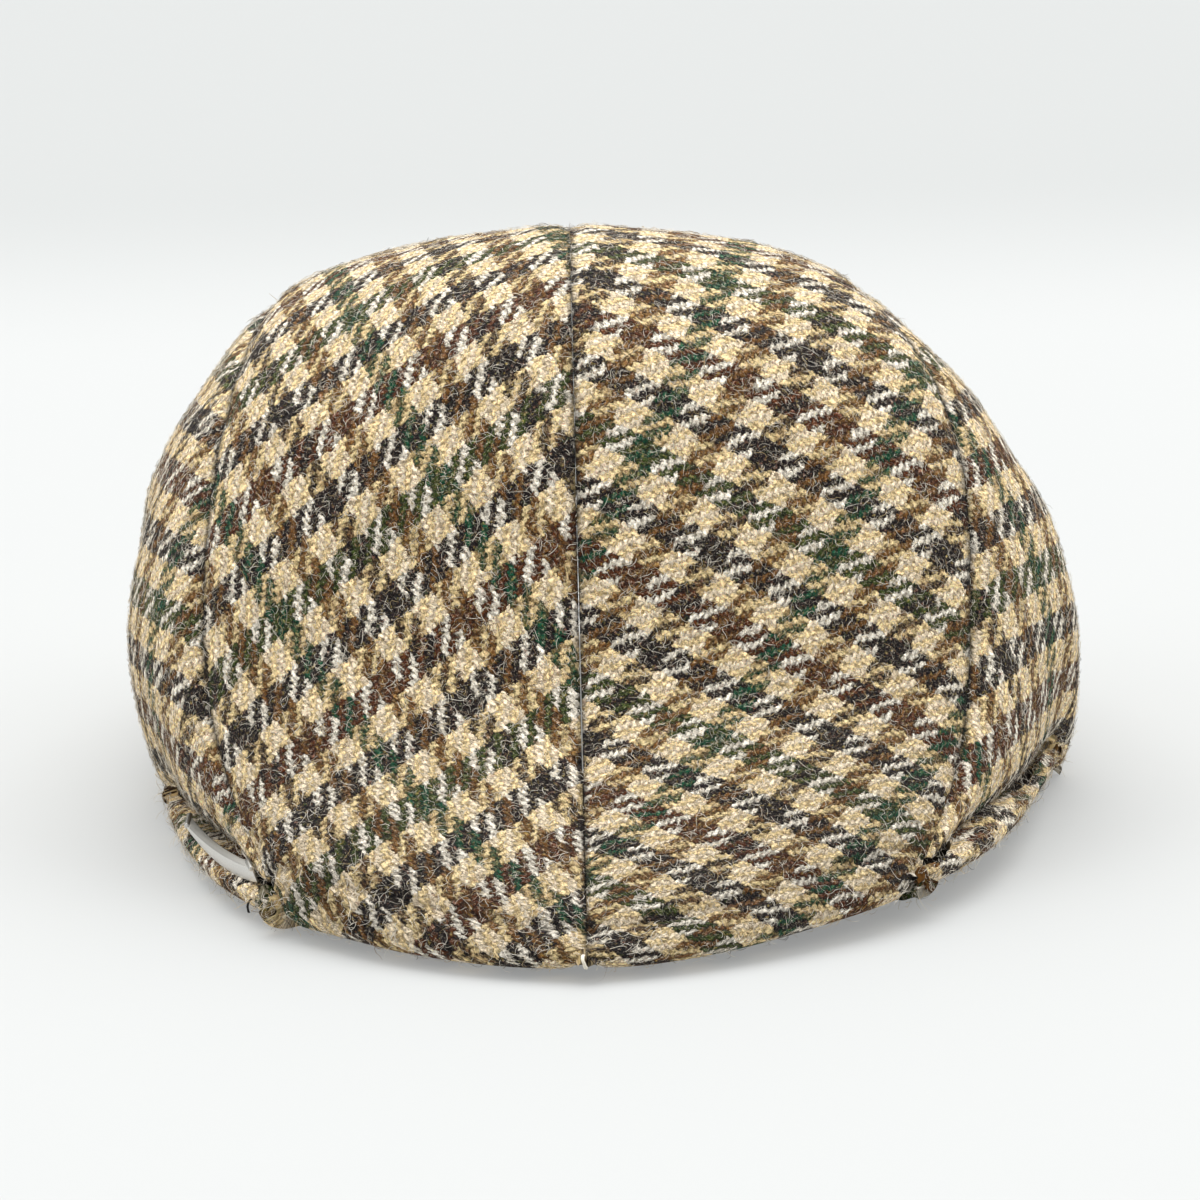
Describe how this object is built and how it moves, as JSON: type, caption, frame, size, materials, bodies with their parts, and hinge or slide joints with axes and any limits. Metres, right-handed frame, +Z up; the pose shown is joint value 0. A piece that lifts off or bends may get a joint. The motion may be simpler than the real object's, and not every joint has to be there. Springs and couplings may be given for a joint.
{
  "type": "houndstooth duckbill cap",
  "caption": "Soft duckbill cap of checked wool cloth with a centre seam, side seams, a short stiff peak and a small bare metal plate.",
  "frame": {"origin": "middle of the cap's base, on the surface that it rests on", "axes": "+Z up, -Y towards the peak's tip, +X towards the wearer's left"},
  "size_m": [0.1988, 0.2622, 0.114],
  "materials": {
    "wool_check": "fuzzy twill-woven wool in a houndstooth check of cream, black, brown and green",
    "under_peak_cloth": "plain dark wool cloth under the peak",
    "brushed_plate": "brushed, bare"
  },
  "bodies": {
    "root": {"top_panel_left": "wool_check", "top_panel_right": "wool_check", "side_panel_left": "wool_check", "side_panel_right": "wool_check", "edge_strip_left": "wool_check", "edge_strip_right": "wool_check", "peak_board": "under_peak_cloth", "groove_plate": "brushed_plate"}
  },
  "joints": []
}
